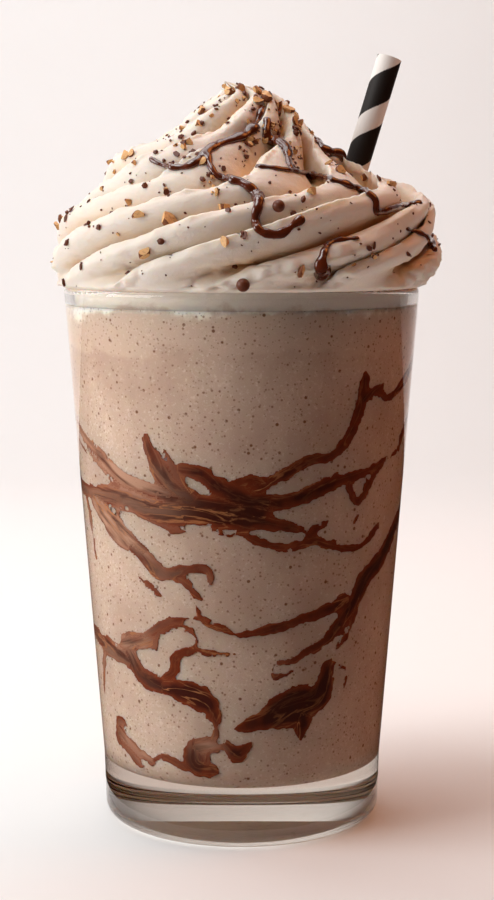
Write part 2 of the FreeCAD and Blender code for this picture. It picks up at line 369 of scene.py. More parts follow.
def blended_milkshake(shake):
    """Blended milk, ice cream and cocoa: matt against the glass, clouded with foam and full of bubbles."""
    material, tree, output = new_material("blended_milkshake")
    place = add_node(tree, "TexCoord").outputs["Object"]
    height = add_node(tree, "SeparateXYZ", {0: place}).outputs["Z"]
    # Clouds 18 mm across, drawn out a little up and down.
    stretch = add_node(tree, "Mapping", {"Vector": place, "Scale": (1, 1, 0.7)})
    clouds = add_node(tree, "TexNoise", {
        "Vector": stretch.outputs[0], "Scale": 1000 / 18, "Detail": 5, "Roughness": 0.62})
    cloudy = add_node(tree, "MapRange", {"Value": clouds.outputs[0], "From Min": 0.38, "From Max": 0.68})
    base = add_node(tree, "Mix", {
        0: cloudy.outputs[0], 6: rgba(shake.body), 7: rgba(shake.pale)}, data_type="RGBA")
    # The foam's lower edge hangs about 9 mm below the drink's surface, in scallops about 14 mm wide.
    scallops = add_node(tree, "TexNoise", {
        "Vector": place, "Scale": 1000 / 14, "Detail": 4, "Roughness": 0.55})
    dip = add_node(tree, "MapRange", {
        "Value": scallops.outputs[0], "From Min": 0.3, "From Max": 0.7, "To Min": -0.0035, "To Max": 0.0035})
    level = add_node(tree, "Math", {0: height, 1: dip.outputs[0]}, operation="ADD")
    foam = add_node(tree, "MapRange", {
        "Value": level.outputs[0], "From Min": (SURFACE - 10.5) * MM, "From Max": (SURFACE - 8) * MM,
        "To Max": 0.75}, interpolation_type="SMOOTHSTEP")
    foamy = add_node(tree, "Mix", {
        0: foam.outputs[0], 6: base.outputs[2], 7: rgba(shake.pale)}, data_type="RGBA")
    band = cream_line(tree, place, height)
    creamy = add_node(tree, "Mix", {0: band, 6: foamy.outputs[2], 7: rgba(shake.cream)}, data_type="RGBA")
    colour = creamy.outputs[2]
    for spacing, width, share, rare in BUBBLES:
        cells = add_node(tree, "TexVoronoi", {"Vector": place, "Scale": 1000 / spacing, "Randomness": 1.0})
        dots = add_node(tree, "MapRange", {
            "Value": cells.outputs["Distance"], "From Min": width, "From Max": width * 0.55, "To Max": share},
            interpolation_type="SMOOTHSTEP")
        chosen = add_node(tree, "SeparateColor", {0: cells.outputs["Color"]})
        kept = add_node(tree, "Math", {0: chosen.outputs[0], 1: rare}, operation="GREATER_THAN")
        shown = add_node(tree, "Math", {0: dots.outputs[0], 1: kept.outputs[0]}, operation="MULTIPLY")
        colour = add_node(tree, "Mix", {
            0: shown.outputs[0], 6: colour, 7: rgba(shake.bubble)}, data_type="RGBA").outputs[2]
    # Pale specks of ice and foam, 0.4 mm, thickest in patches.
    specks = add_node(tree, "TexNoise", {"Vector": place, "Scale": 1000 / 0.8, "Detail": 3, "Roughness": 0.7})
    level = add_node(tree, "MapRange", {
        "Value": clouds.outputs[0], "From Min": 0.3, "From Max": 0.7, "To Min": 0.62, "To Max": 0.5})
    above = add_node(tree, "Math", {0: specks.outputs[0], 1: level.outputs[0]}, operation="SUBTRACT")
    bright = add_node(tree, "MapRange", {
        "Value": above.outputs[0], "From Min": 0.0, "From Max": 0.16, "To Max": 0.38})
    colour = add_node(tree, "Mix", {
        0: bright.outputs[0], 6: colour, 7: rgba(shake.cream)}, data_type="RGBA").outputs[2]
    surface = add_node(tree, "BsdfPrincipled", {
        "Base Color": colour, "Roughness": 0.75, "IOR": 1.35, "Specular IOR Level": 0.1,
        "Subsurface Weight": 0.55, "Subsurface Scale": 0.008, "Subsurface Radius": (1.0, 0.45, 0.2)})
    tree.links.new(surface.outputs[0], output.inputs["Surface"])
    return material


class MILKSHAKE_OT_pour_drink(bpy.types.Operator):
    """Fills the tumbler with milkshake, just into its wall so that no air shows"""
    bl_idname = "milkshake.pour_drink"
    bl_label = "Pour drink"

    def execute(self, context):
        tumbler, shake = context.scene.tumbler, context.scene.shake
        reach, bend = shake.wall_reach / MM, tumbler.floor_round / MM
        floor = DRINK_LOW.z - reach
        lean = math.atan2(wall_radius(SURFACE) - wall_radius(floor), SURFACE - floor)
        turn_height = floor + bend
        middle = wall_radius(turn_height) + reach - bend / math.cos(lean)
        bm = bmesh.new()
        outline = [(r, floor) for r in np.linspace(0, middle, 24)[:-1]]
        outline += [(middle + bend * math.sin(a), turn_height - bend * math.cos(a))
                    for a in np.linspace(0, math.pi / 2 - lean, 9)]
        outline += [(wall_radius(z) + reach, z) for z in np.linspace(turn_height + 1, SURFACE, 100)]
        outline += [(r, SURFACE) for r in np.linspace(wall_radius(SURFACE), 0, 24)[1:]]
        corners = [bm.verts.new((r, 0, z)) for r, z in outline]
        edges = [bm.edges.new(pair) for pair in zip(corners, corners[1:])]
        bmesh.ops.spin(bm, geom=corners + edges, cent=(0, 0, 0), axis=(0, 0, 1), angle=math.tau, steps=240,
                       use_merge=True, use_duplicate=False)
        bmesh.ops.remove_doubles(bm, verts=bm.verts, dist=0.001)
        bmesh.ops.recalc_face_normals(bm, faces=bm.faces)
        piece = finish_piece(bm, "milkshake_body", [blended_milkshake(shake)])
        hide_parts("milkshake")
        return {"FINISHED"}


# ------------------------------------------------------- sauce on the wall

# Strokes of sauce on the front of the wall: widths at the start, middle and end in millimetres, how far it
# is thinned with milk, and the places that it runs through as (heading, height).
STROKES = [
    # the plume that rises at the left, and the lobes beside it
    ((1.0, 5.0, 3.5), 0.15, ((-35, 98), (-32, 93), (-26, 87), (-17, 83))),
    ((1.5, 2.0, 1.5), 0.20, ((-27, 94), (-22, 88), (-17, 84))),
    ((2.5, 5.0, 4.5), 0.00, ((-20, 90), (-13, 89), (-7, 86), (2, 83), (9, 83))),
    ((2.0, 2.5, 2.0), 0.00, ((-2, 87), (4, 88), (9, 87))),
    # the broad band across the middle
    ((3.0, 4.0, 6.0), 0.20, ((-92, 84), (-76, 82), (-60, 82), (-45, 82), (-32, 80), (-22, 80))),
    ((5.0, 6.0, 1.0), 0.00, ((-26, 80), (-14, 80), (0, 79), (10, 78), (22, 76))),
    ((2.0, 4.0, 5.0), 0.00, ((-38, 86), (-24, 83), (-10, 82), (6, 80))),
    ((1.0, 1.5, 1.0), 0.10, ((-35, 78), (-26, 76), (-20, 76))),
    # the arm that climbs to the right edge
    ((3.0, 2.0, 3.2), 0.00, ((6, 86), (15, 89), (23, 92), (32, 93), (39, 97), (43, 103), (45, 110))),
    ((3.0, 2.5, 1.0), 0.00, ((44, 105), (49, 107), (54, 108))),
    ((1.2, 2.6, 3.0), 0.00, ((50, 107), (58, 105), (67, 107), (78, 111), (92, 115))),
    # the arm below it, its leaf and its hook
    ((3.5, 3.5, 1.0), 0.00, ((4, 83), (17, 83), (27, 85), (36, 87), (49, 88), (62, 91))),
    ((1.0, 2.4, 1.4), 0.00, ((62, 90), (70, 92), (76, 96), (92, 104))),
    ((1.0, 2.2, 0.8), 0.00, ((40, 86), (45, 81), (52, 86), (60, 90))),
    # the lower arm, its knot and a thread
    ((1.0, 2.2, 1.0), 0.00, ((-10, 76), (4, 74), (16, 72), (26, 73), (38, 71), (50, 71), (59, 75))),
    ((1.5, 2.0, 1.6), 0.00, ((24, 74), (27, 76), (31, 77))),
    ((0.7, 0.7, 0.5), 0.00, ((46, 78), (41, 74), (34, 73))),
    # the run at the left, down to its hook
    ((2.0, 2.0, 0.8), 0.35, ((-76, 82), (-71, 75), (-69, 66))),
    ((3.0, 4.0, 1.8), 0.20, ((-62, 79), (-51, 74), (-40, 70), (-29, 65), (-19, 67), (-13, 67), (-11, 64))),
    ((2.0, 1.8, 0.8), 0.00, ((-24, 65), (-18, 62), (-15, 60))),
    ((0.5, 0.6, 2.0), 0.30, ((-48, 67), (-37, 62), (-31, 60))),
    # the low branch from the right, and the two loops at its end
    ((1.0, 2.0, 3.4), 0.00, ((-17, 59), (-14, 55), (0, 52), (12, 53), (25, 55), (42, 58))),
    ((3.5, 5.5, 1.2), 0.00, ((92, 79), (76, 73), (64, 67), (52, 62), (45, 56), (36, 50), (26, 47), (20, 45))),
    ((1.0, 1.0, 0.8), 0.10, ((20, 45), (12, 44), (13, 41), (20, 43))),
    ((2.0, 1.2, 0.5), 0.00, ((48, 55), (44, 49), (36, 45))),
    ((1.5, 2.2, 2.5), 0.10, ((-14, 55), (-28, 54), (-36, 51), (-48, 46))),
    ((1.2, 1.4, 1.4), 0.05, ((-35, 47), (-32, 51), (-24, 53), (-17, 51), (-17, 48))),
    ((1.2, 2.6, 1.4), 0.00, ((-17, 48), (-25, 46), (-27, 42), (-31, 40))),
    ((1.2, 1.1, 0.5), 0.00, ((-19, 48), (-10, 47), (-2, 47))),
    ((1.0, 1.5, 1.0), 0.20, ((-38, 50), (-49, 49), (-50, 46))),
    # the long tongue
    ((3.0, 4.0, 4.5), 0.30, ((-92, 47), (-76, 46), (-60, 44), (-48, 43))),
    ((4.5, 4.5, 4.5), 0.05, ((-48, 44), (-43, 40), (-33, 38))),
    ((4.0, 6.0, 1.0), 0.00, ((-33, 38), (-20, 37), (-12, 34), (-10, 28))),
    ((1.0, 1.6, 0.6), 0.40, ((-66, 44), (-71, 38), (-73, 31))),
    # the marks low at the left
    ((1.0, 2.2, 1.6), 0.00, ((-52, 26), (-60, 27), (-61, 22), (-54, 20), (-46, 17))),
    ((0.5, 1.2, 2.0), 0.10, ((-50, 23), (-41, 19), (-33, 21), (-24, 19))),
    ((2.5, 5.0, 3.5), 0.00, ((-20, 25), (-19, 20), (-12, 19))),
    ((2.0, 1.6, 0.8), 0.00, ((-14, 20), (-13, 24), (-10, 31))),
    ((2.0, 4.0, 2.0), 0.00, ((-6, 25), (-2, 23), (3, 25))),
    # the leaf low at the right
    ((0.8, 9.0, 3.5), 0.00, ((-3, 29), (9, 31), (21, 34), (32, 36), (36, 43))),
    ((5.5, 4.0, 0.5), 0.00, ((21, 34), (25, 31), (24, 25))),
    ((0.5, 1.2, 0.5), 0.00, ((40, 43), (45, 40), (44, 36))),
    # thin veils, where the milk shows through
    ((1.0, 3.2, 3.2), 0.80, ((-92, 101), (-76, 97), (-60, 92), (-45, 87), (-26, 84))),
    ((0.5, 0.8, 0.8), 0.50, ((-78, 94), (-60, 89), (-45, 83))),
    ((5.0, 6.0, 3.5), 0.75, ((-64, 80), (-50, 74), (-38, 70))),
    ((4.0, 3.5, 3.0), 0.80, ((-51, 47), (-38, 49))),
    ((3.5, 2.0, 1.5), 0.80, ((-60, 24), (-50, 21), (-40, 19))),
    ((4.0, 4.0, 3.0), 0.80, ((-19, 24), (-11, 25))),
]

# The sauce round the back: strokes of the front mirrored through the drink, and lifted most in the middle
# so that they still join the front ones at the sides.
BACK_LIFT = 9

# A stroke's length is measured at this radius of the wall, in this many samples between two of its places.
STROKE_RADIUS = 36
STROKE_SAMPLES = 36
# How far each stroke's pattern is shifted along the flow, so that no two look alike.
STROKE_SHIFT = 37
# How far past a stroke's edge the field is worked out.
FIELD_MARGIN = 1.6


def stroke_samples():
    """Every stroke, front and back, as rows of heading, height, half width, thinning, length and flow."""
    rows = []
    for side, lift in ((1, 0), (-1, BACK_LIFT)):
        for number, (widths, thinned, places) in enumerate(STROKES):
            if side < 0 and number % 4 == 1:
                continue
            heading, height = through(places, STROKE_SAMPLES).T
            spans = np.hypot(np.diff(np.radians(heading) * STROKE_RADIUS), np.diff(height))
            along = np.concatenate([[0], np.cumsum(spans)])
            half = np.interp(along / along[-1], (0, 0.5, 1), widths) / 2
            half = half * (1 + 0.22 * wander(along, number * 7, side * 5, 5))
            height = height + lift * np.cos(np.radians(heading))
            if side < 0:
                heading = 180 - heading
            flow = np.stack([np.gradient(np.radians(heading) * STROKE_RADIUS), np.gradient(height)])
            flow /= np.maximum(np.hypot(*flow), 1e-6)
            milky = np.full(len(half), thinned)
            rows.append(np.stack([heading, height, half, milky, along + number * STROKE_SHIFT, *flow], 1))
    return np.vstack(rows)


def sauce_field(heading, height):
    """How far inside the sauce each place of the grid is, its thinning, and its distance along and across."""
    radius = wall_radius(height)[:, 0]
    inside = np.full(np.broadcast(heading, height).shape, -9.0)
    thin, along, across = np.zeros_like(inside), np.zeros_like(inside), np.zeros_like(inside)
    columns = inside.shape[1] - 1
    step_across, step_up = 360 / columns, height[1, 0] - height[0, 0]
    for turn, rise, half, thinned, far, ahead, upward in stroke_samples():
        reach = half + FIELD_MARGIN
        at = wall_radius(rise)
        wide = int(math.degrees(reach / at) / step_across) + 1
        tall = int(reach / step_up) + 1
        middle = round((turn + 180) / step_across)
        level = round((rise - height[0, 0]) / step_up)
        across_index = np.arange(middle - wide, middle + wide + 1)
        up_index = np.arange(max(level - tall, 0), min(level + tall + 1, inside.shape[0]))
        wrapped = across_index % columns
        dx = np.radians(across_index * step_across - 180 - turn)[None, :] * radius[up_index][:, None]
        dy = (height[up_index, 0] - rise)[:, None]
        value = half - np.hypot(dx, dy)
        window = np.ix_(up_index, wrapped)
        better = value > inside[window]
        for field, new in ((inside, value), (thin, thinned),
                           (along, far + dx * ahead + dy * upward), (across, dy * ahead - dx * upward)):
            patch = field[window]
            patch[better] = np.broadcast_to(new, better.shape)[better]
            field[window] = patch
    for field in (inside, thin, along, across):
        field[:, -1] = field[:, 0]
    return inside, thin, along, across


def soften(field, rounds):
    """Averages a field that is closed round the tumbler with its neighbours."""
    ring = field[:, :-1]
    for _ in range(rounds):
        ring = (ring + np.roll(ring, 1, 1) + np.roll(ring, -1, 1)) / 3
        ring[1:-1] = (ring[:-2] + ring[1:-1] + ring[2:]) / 3
    return np.hstack([ring, ring[:, :1]])


def chocolate_film(sauce):
    """Chocolate sauce pressed thin against glass: deep brown, marbled with milky threads along its flow."""
    material, tree, output = new_material("chocolate_sauce_film")
    along = add_node(tree, "Attribute", attribute_name="along").outputs["Fac"]
    across = add_node(tree, "Attribute", attribute_name="across").outputs["Fac"]
    depth = add_node(tree, "Attribute", attribute_name="depth").outputs["Fac"]
    thinned = add_node(tree, "Attribute", attribute_name="thinned").outputs["Fac"]
    # Threads 0.5 mm wide and 2.2 mm apart, which run about 12 mm along the flow and lie in patches.
    far = add_node(tree, "Math", {0: along, 1: 1 / 12}, operation="MULTIPLY").outputs[0]
    wide = add_node(tree, "Math", {0: across, 1: 1 / 2.2}, operation="MULTIPLY").outputs[0]
    flow = add_node(tree, "CombineXYZ", {0: far, 1: wide})
    threads = add_node(tree, "TexNoise", {
        "Vector": flow.outputs[0], "Scale": 1.0, "Detail": 4, "Roughness": 0.55, "Distortion": 0.6})
    ridge = add_node(tree, "Math", {0: threads.outputs[0], 1: 0.5}, operation="SUBTRACT")
    line = add_node(tree, "Math", {0: ridge.outputs[0]}, operation="ABSOLUTE")
    thready = add_node(tree, "MapRange", {
        "Value": line.outputs[0], "From Min": 0.045, "From Max": 0.0, "To Max": 0.9},
        interpolation_type="SMOOTHSTEP")
    patches = add_node(tree, "TexNoise", {"Vector": flow.outputs[0], "Scale": 0.35, "Detail": 1})
    patchy = add_node(tree, "MapRange", {
        "Value": patches.outputs[0], "From Min": 0.48, "From Max": 0.66, "To Min": 0.12})
    marbled = add_node(tree, "Math", {0: thready.outputs[0], 1: patchy.outputs[0]}, operation="MULTIPLY")
    # Sauce is lighter within 1.6 mm of its edge, where it thins out.
    edge = add_node(tree, "MapRange", {"Value": depth, "From Min": 1.6, "From Max": 0.1})
    brown = add_node(tree, "Mix", {
        0: edge.outputs[0], 6: rgba(sauce.body), 7: rgba(sauce.edge)}, data_type="RGBA")
    # Thinned sauce is streaked: some of it stays brown, and some is nearly milk.
    uneven = add_node(tree, "MapRange", {
        "Value": threads.outputs[0], "From Min": 0.35, "From Max": 0.6, "To Min": 0.2, "To Max": 1.4})
    milk = add_node(tree, "Math", {0: thinned, 1: uneven.outputs[0]}, operation="MULTIPLY", use_clamp=True)
    veiled = add_node(tree, "Mix", {
        0: milk.outputs[0], 6: brown.outputs[2], 7: rgba(sauce.veil)}, data_type="RGBA")
    colour = add_node(tree, "Mix", {
        0: marbled.outputs[0], 6: veiled.outputs[2], 7: rgba(sauce.thread)}, data_type="RGBA")
    surface = add_node(tree, "BsdfPrincipled", {
        "Base Color": colour.outputs[2], "Roughness": 0.5, "IOR": 1.4, "Specular IOR Level": 0.15})
    tree.links.new(surface.outputs[0], output.inputs["Surface"])
    return material


class MILKSHAKE_OT_streak_wall(bpy.types.Operator):
    """Lays the streaks of chocolate sauce on the inside of the wall"""
    bl_idname = "milkshake.streak_wall"
    bl_label = "Streak wall"

    def execute(self, context):
        sauce = context.scene.sauce
        cell, reach, depth = sauce.cell / MM, sauce.film_reach / MM, sauce.film_depth / MM
        low, high = DRINK_LOW.z + 2, RIM - 6
        columns = round(math.tau * wall_radius((low + high) / 2) / cell)
        rows = round((high - low) / cell)
        heading = np.linspace(-180, 180, columns + 1)[None, :]
        height = np.linspace(low, high, rows + 1)[:, None]
        angle = np.radians(heading)
        radius = wall_radius(height)
        x, y, z = radius * np.sin(angle), -radius * np.cos(angle), height + 0 * angle
        inside, thin, along, across = sauce_field(heading, height)
        inside, thin = soften(inside, 2), soften(thin, 40)
        # The edge wanders in waves of 2.6 and 1 mm, and frays along the flow, most where the sauce is thin.
        feather = wander(along / 6, across / 0.8, 0, 1)
        waves = 0.7 * wander(x, y, z, 2.6) + 0.4 * wander(x, y, z, 1.0)
        inside = inside + sauce.ragged / MM * (waves + (0.5 + 1.6 * thin) * feather)
        grad_up, grad_across = np.gradient(inside)
        grad_across[:, 0] = grad_across[:, -1] = (inside[:, 1] - inside[:, -2]) / 2
        step_across, step_up = math.radians(360 / columns) * radius, (high - low) / rows
        grad_across, grad_up = grad_across / step_across, grad_up / step_up
        steep = np.maximum(grad_across ** 2 + grad_up ** 2, 0.05)
        # A flat grid is cut down to the sauce and rolled up. Its outer ring of vertices moves onto the edge.
        bm = bmesh.new()
        bmesh.ops.create_grid(bm, x_segments=columns, y_segments=rows, size=1)
        layers = {name: bm.verts.layers.float.new(name) for name in ("along", "across", "depth", "thinned")}
        spot = {v: (round((v.co.y + 1) / 2 * rows), round((v.co.x + 1) / 2 * columns)) for v in bm.verts}
        empty = [f for f in bm.faces if all(inside[spot[v]] <= 0 for v in f.verts)]
        bmesh.ops.delete(bm, geom=empty, context="FACES")
        for v in bm.verts:
            at = spot[v]
            value = inside[at]
            aside = up = 0.0
            if value < 0:
                aside, up = -value * grad_across[at] / steep[at], -value * grad_up[at] / steep[at]
                length = math.hypot(aside, up)
                if length > cell:
                    aside, up = aside * cell / length, up * cell / length
            tall = height[at[0], 0] + up
            wide = wall_radius(tall) + reach
            turn = math.radians(heading[0, at[1]]) + aside / wide
            v.co = (wide * math.sin(turn), -wide * math.cos(turn), tall)
            v[layers["along"]], v[layers["across"]] = along[at], across[at]
            v[layers["depth"]], v[layers["thinned"]] = max(value, 0), thin[at]
        bmesh.ops.remove_doubles(bm, verts=bm.verts, dist=0.04)
        bmesh.ops.recalc_face_normals(bm, faces=bm.faces)
        for face in bm.faces:
            face.normal_update()
            middle = face.calc_center_median()
            if face.normal.dot((middle.x, middle.y, 0)) < 0:
                face.normal_flip()
        bmesh.ops.solidify(bm, geom=bm.faces, thickness=depth)
        bmesh.ops.recalc_face_normals(bm, faces=bm.faces)
        finish_piece(bm, "wall_sauce", [chocolate_film(sauce)])
        return {"FINISHED"}


# ----------------------------------------------------------- whipped cream

# The cream's outline up its side: radius of the ridges' crests and height.
CREAM_SIDE = ((44.2, 130.7), (45.4, 133), (46.4, 136.5), (45.8, 142), (43.6, 148), (39.4, 152), (33.2, 156),
              (25.6, 161), (17.6, 165.5), (13.6, 170), (9.0, 174), (4.4, 177), (0.0, 179))

# How far the middle of each round stands to the right, and its height: the rounds are piled a little off
# centre.
CREAM_LEAN = ((1.5, 130), (1.5, 145), (3.6, 151), (0, 156), (-3.6, 161), (0, 166), (0.5, 172), (1, 176),
              (-4, 179))

# One ridge in section, from its lip to the next: share of the ridge's width, and share of its depth. The lip
# leans over the groove behind it, and the face rounds down slowly to the groove in front.
RIDGE_SECTION = ((-0.15, 0.94), (-0.05, 1.08), (0.15, 1.02), (0.40, 0.76), (0.64, 0.34), (0.82, 0.02),
                 (0.94, 0.00), (0.85, 0.94))
STEPS_TO_A_SPAN = 4
# The radius at which the cream, spread over the rim, has just passed its outer edge.
PAST_RIM = 43.2


def cream_centre(height):
    """How far the swirl's middle stands to the right at that height."""
    lean = through(CREAM_LEAN, 8)
    return np.interp(height, lean[:, 1], lean[:, 0])


def crest_heading(height, twist):
    """Where the first ridge stands at that height. It turns faster where the second round starts."""
    return twist * (height - 150) + 14 * ease(149, 155, height)


def crest_radius(height):
    """The outline's radius at that height."""
    side = through(CREAM_SIDE, 12)
    order = np.argsort(side[:, 1])
    return np.interp(height, side[order, 1], side[order, 0])


def whipped_cream(cream, shake):
    """Whipped dairy cream: white, soft-edged and faintly moist, with painted warm shade deep between the
    ridges.
    """
    material, tree, output = new_material("whipped_dairy_cream")
    place = add_node(tree, "TexCoord").outputs["Object"]
    deep = add_node(tree, "Attribute", attribute_name="groove").outputs["Fac"]
    # Painted warm shade deep in the grooves, broken into patches 9 mm across.
    patches = add_node(tree, "TexNoise", {"Vector": place, "Scale": 1000 / 9, "Detail": 3, "Roughness": 0.6})
    patchy = add_node(tree, "MapRange", {
        "Value": patches.outputs[0], "From Min": 0.35, "From Max": 0.65, "To Min": 0.45})
    groove_shade = add_node(tree, "Math", {0: deep, 1: patchy.outputs[0]}, operation="MULTIPLY")
    colour = add_node(tree, "Mix", {
        0: groove_shade.outputs[0], 6: rgba(cream.white), 7: rgba(cream.groove)}, data_type="RGBA")
    height = add_node(tree, "SeparateXYZ", {0: place}).outputs["Z"]
    lined = add_node(tree, "Mix", {
        0: cream_line(tree, place, height), 6: rgba(shake.pale), 7: colour.outputs[2]}, data_type="RGBA")
    # Air bubbles and drag marks, 0.5 mm.
    grain = add_node(tree, "TexNoise", {"Vector": place, "Scale": 1000 / 1.1, "Detail": 5, "Roughness": 0.65})
    bump = add_node(tree, "Bump", {"Height": grain.outputs[0], "Distance": 0.0004, "Strength": 0.4})
    surface = add_node(tree, "BsdfPrincipled", {
        "Base Color": lined.outputs[2], "Roughness": 0.42, "IOR": 1.38, "Specular IOR Level": 0.4,
        "Subsurface Weight": 0.5, "Subsurface Scale": 0.002, "Subsurface Radius": (1.0, 0.6, 0.35),
        "Normal": bump.outputs[0]})
    tree.links.new(surface.outputs[0], output.inputs["Surface"])
    return material


class MILKSHAKE_OT_pipe_cream(bpy.types.Operator):
    """Pipes the whipped cream in ridges round and up to its peak"""
    bl_idname = "milkshake.pipe_cream"
    bl_label = "Pipe cream"

    def execute(self, context):
        cream, shake = context.scene.cream, context.scene.shake
        reach = shake.wall_reach / MM
        plug = wall_radius(SURFACE) + reach
        neck = wall_radius(RIM) + reach
        lower = [(r, SURFACE) for r in np.linspace(0, plug, 12)]
        lower += [(neck - 0.1, RIM - 1.0), (neck + 0.5, RIM + 0.05), (PAST_RIM, RIM + 0.15)]
        side = through(CREAM_SIDE, 30)
        lengths = np.concatenate([[0], np.cumsum(np.hypot(*np.diff(side, axis=0).T))])
        even = np.linspace(0, lengths[-1], cream.rows)
        upper = np.stack([np.interp(even, lengths, side[:, k]) for k in (0, 1)], 1)
        outline = np.vstack([lower, upper])
        slopes = np.gradient(outline, axis=0)
        slopes /= np.maximum(np.linalg.norm(slopes, axis=1), 1e-6)[:, None]

        # A flat grid is rolled up: its columns follow the ridges' section round, and its rows the outline up.
        section = through(RIDGE_SECTION, STEPS_TO_A_SPAN)[:-1]
        per_ridge = len(section)
        columns = cream.ridges * per_ridge
        bm = bmesh.new()
        bmesh.ops.create_grid(bm, x_segments=columns, y_segments=len(outline) - 1, size=1)
        # How deep each vertex lies between the ridges; the cream's material paints shade from it.
        groove = bm.verts.layers.float.new("groove")
        verts = list(bm.verts)
        flat = np.array([v.co[:2] for v in verts])
        column = np.rint((flat[:, 0] + 1) / 2 * columns).astype(int) % columns
        row = np.rint((flat[:, 1] + 1) / 2 * (len(outline) - 1)).astype(int)
        r, z = outline[row].T
        ridge, step = column // per_ridge, column % per_ridge
        share, out = section[step].T
        lip = np.exp(-((np.minimum(step, per_ridge - step)) / 2.2) ** 2)
        rng = np.random.default_rng(4)
        jitter = 0.18 * rng.uniform(-1, 1, cream.ridges)
        piped = ease(RIM + 0.3, RIM + 5, z)
        drift = jitter[ridge] + 0.10 * wander(z, ridge * 9.0, 0, 7)
        pitch = 360 / cream.ridges
        even_share = step / per_ridge
        ridges_round = ridge + piped * (share - even_share) + even_share + drift * piped
        heading = crest_heading(z, cream.twist) + pitch * ridges_round
        depth = np.minimum(cream.ridge_depth / MM, 0.9 + 0.22 * r) * piped
        depth = depth * (1 + 0.25 * wander(z, ridge * 5.0, 3, 9))
        turn = np.radians(heading)
        base = np.stack([r * np.sin(turn), -r * np.cos(turn), z], 1)
        # Scallops about 12 mm long and small notches along each lip.
        scallop = wander(*base.T, 6.0)
        notch = wander(*base.T, 1.5)
        sink = (out - 1) * depth + lip * piped * ease(0, 10, r) * (1.2 * scallop + 0.5 * notch)
        # Lumps by the rim, where the cream was spread, in patches.
        near_rim = (1 - ease(RIM + 4, RIM + 12, z)) * ease(RIM, RIM + 1, z)
        patch = ease(-0.25, 0.2, wander(*base.T, 16)) * near_rim
        sink = sink + patch * (1.5 * wander(*base.T, 2.8) + 0.8 * wander(*base.T, 1.3))
        sink = sink + piped * (0.22 * wander(*base.T, 3.4) + 0.1 * wander(*base.T, 1.1))
        outward, upward = slopes[row][:, 1], -slopes[row][:, 0]
        radius = np.maximum(r + outward * sink, 0)
        height = z + upward * sink + 1.1 * lip * piped * ease(4, 20, r)
        lean = cream_centre(z) * piped
        for v, a, wide, tall, off, value, strength in zip(verts, turn, radius, height, lean, out, piped):
            v.co = (wide * math.sin(a) + off, -wide * math.cos(a), tall)
            v[groove] = (1 - value) * strength
        bmesh.ops.remove_doubles(bm, verts=bm.verts, dist=1e-4)
        bmesh.ops.recalc_face_normals(bm, faces=bm.faces)
        piece = finish_piece(bm, "cream_swirl", [whipped_cream(cream, shake)])
        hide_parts("whipped_cream")
        return {"FINISHED"}


# -------------------------------------------------------- sauce on the cream

# Lines of sauce over the front of the cream: widths at the start, middle and end, and the places they cross.
DRIZZLE = [
    ((3.0, 2.4, 1.2), ((22, 171), (9, 167), (2, 165), (-8, 163), (-13, 160), (-21, 158), (-30, 158),
                       (-42, 160))),
    ((1.6, 2.4, 1.8), ((-9, 161), (-10, 156), (-2, 154), (1, 149), (3, 144), (9, 143), (15, 146))),
    ((2.0, 3.4, 1.6), ((24, 169), (21, 165), (31, 164), (37, 162), (26, 158))),
    ((1.4, 2.0, 1.6), ((11, 158), (24, 157), (35, 155), (41, 152), (41, 148), (52, 149), (68, 150))),
    ((1.2, 1.5, 3.6), ((33, 142), (24, 141), (21, 137), (21, 135))),
    ((1.0, 1.6, 2.0), ((55, 144), (70, 142), (77, 139))),
]

# The numbers of the lines that stay at the front, counted from 0. The others also go round to the back, in two
# copies: the degrees they are turned, and what their headings are multiplied by, which mirrors the first copy.
FRONT_ONLY = (3, 5)
TURNS = ((0, 1), (125, -0.9), (220, 1))
# A line is a row of round blobs this many millimetres apart, melted together in cells of this many metres.
BLOB_SPACING = 0.5
MELT_CELL = 0.00034


def cream_tree():
    """The cream's surface, for resting things on it."""
    cream = bpy.data.objects["cream_swirl"]
    return BVHTree.FromObject(cream, bpy.context.evaluated_depsgraph_get())


def land(tree, heading, height, turn=0.0):
    """Where a line of sight through that place of the outline meets the cream, and how the cream faces."""
    eye = Vector(bpy.context.scene.stage_set.eye) / MM
    round_to = Matrix.Rotation(math.radians(turn), 3, "Z")
    a, r = math.radians(heading), float(crest_radius(height)) - 1
    place = Vector((float(cream_centre(height)) + r * math.sin(a), -r * math.cos(a), height))
    eye, place = round_to @ eye, round_to @ place
    hit, normal, _, _ = tree.ray_cast(eye * MM, (place - eye).normalized())
    if hit is None:
        return None
    return hit / MM, normal


def glossy_sauce(sauce):
    """Thick chocolate sauce: nearly black where deep, reddish where thin, with a wet gloss."""
    material, tree, output = new_material("chocolate_sauce")
    place = add_node(tree, "TexCoord").outputs["Object"]
    # Slow changes of thickness, 3 mm across.
    thick = add_node(tree, "TexNoise", {"Vector": place, "Scale": 1000 / 3, "Detail": 2})
    colour = add_node(tree, "Mix", {
        0: thick.outputs[0], 6: rgba(sauce.gloss), 7: rgba(sauce.edge)}, data_type="RGBA")
    surface = add_node(tree, "BsdfPrincipled", {
        "Base Color": colour.outputs[2], "Roughness": 0.25, "IOR": 1.45, "Coat Weight": 0.8,
        "Coat Roughness": 0.06})
    tree.links.new(surface.outputs[0], output.inputs["Surface"])
    return material


